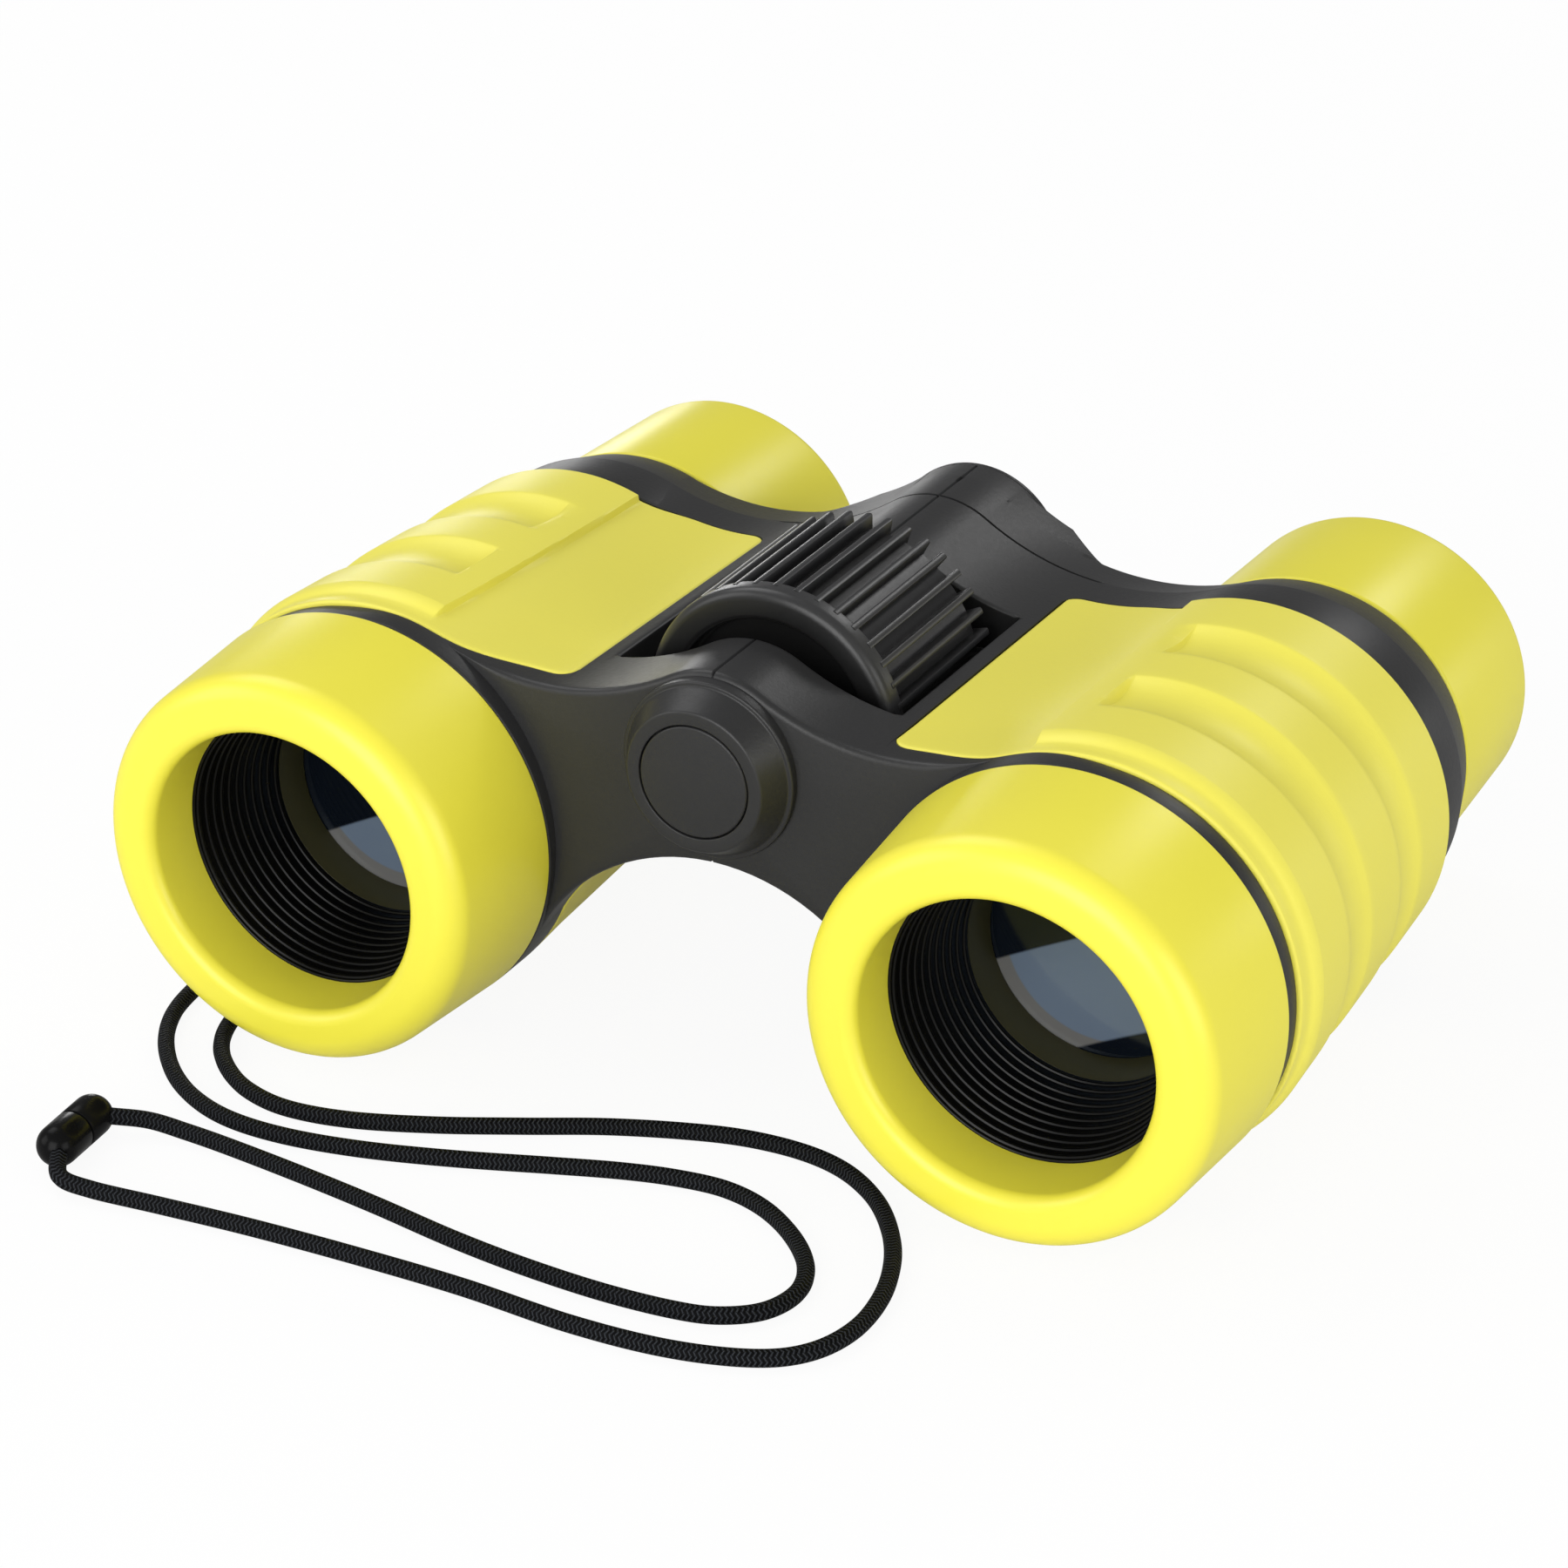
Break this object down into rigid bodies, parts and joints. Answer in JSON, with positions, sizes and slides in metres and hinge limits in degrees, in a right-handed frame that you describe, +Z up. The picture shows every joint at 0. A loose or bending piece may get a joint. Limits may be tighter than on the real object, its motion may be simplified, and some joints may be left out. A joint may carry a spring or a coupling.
{
  "type": "toy binoculars",
  "caption": "Child's binoculars in black and yellow plastic: two ribbed-hood barrels on a fixed bridge, a focus wheel that slides both eyepieces, and a neck cord with a clasp.",
  "frame": {"origin": "middle of the object's base without its cord: midway between the barrels, at half its length, on the floor that the grips rest on", "axes": "+X across the barrels towards the right one, +Y along the barrels towards the eyepieces, +Z up"},
  "size_m": [0.1004, 0.1008, 0.0397],
  "materials": {
    "black_body": "satin moulded plastic",
    "yellow_grip": "soft satin rubber",
    "yellow_trim": "satin moulded plastic",
    "black_gloss": "glossy moulded plastic",
    "dark_olive": "satin",
    "lens_glass": "polished",
    "brass": "turned",
    "steel": "turned",
    "cord": "braided"
  },
  "bodies": {
    "body": {"left_body": "black_body", "right_body": "black_body", "bridge_cover": "black_body", "cover_screws": "steel", "front_boss": "black_body", "boss_disc": "black_body", "rear_cap": "black_body", "left_grip": "yellow_grip", "right_grip": "yellow_grip", "left_front_ring": "yellow_trim", "right_front_ring": "yellow_trim", "left_hood_tube": "black_gloss", "right_hood_tube": "black_gloss", "left_lens_cell": "black_gloss", "right_lens_cell": "black_gloss", "left_objective": "lens_glass", "right_objective": "lens_glass", "left_lens_retainer": "dark_olive", "right_lens_retainer": "dark_olive", "front_bush": "brass", "rear_bush": "brass", "neck_cord_a": "cord", "neck_cord_b": "cord", "clasp_socket": "black_gloss", "clasp_plug": "black_gloss"},
    "wheel": {"focus_wheel": "black_body", "focus_shaft": "steel"},
    "carriage": {"focus_yoke": "black_body", "focus_nut": "brass", "left_eyepiece_tube": "black_gloss", "right_eyepiece_tube": "black_gloss", "left_eyecup": "yellow_trim", "right_eyecup": "yellow_trim", "left_eye_lens": "lens_glass", "right_eye_lens": "lens_glass", "left_eye_retainer": "black_gloss", "right_eye_retainer": "black_gloss"}
  },
  "joints": [
    {"name": "focus_turn", "type": "hinge", "parent": "body", "child": "wheel", "pos_m": [0, 0, 0.0284], "axis": [0, 1, 0], "range_deg": [0, 330]},
    {"name": "focus_slide", "type": "slide", "parent": "body", "child": "carriage", "axis": [0, 1, 0], "range_m": [0, 0.004]}
  ],
  "couplings": [
    {"joint": "focus_turn", "follows": "focus_slide", "rad_per_m": 1308.9}
  ]
}
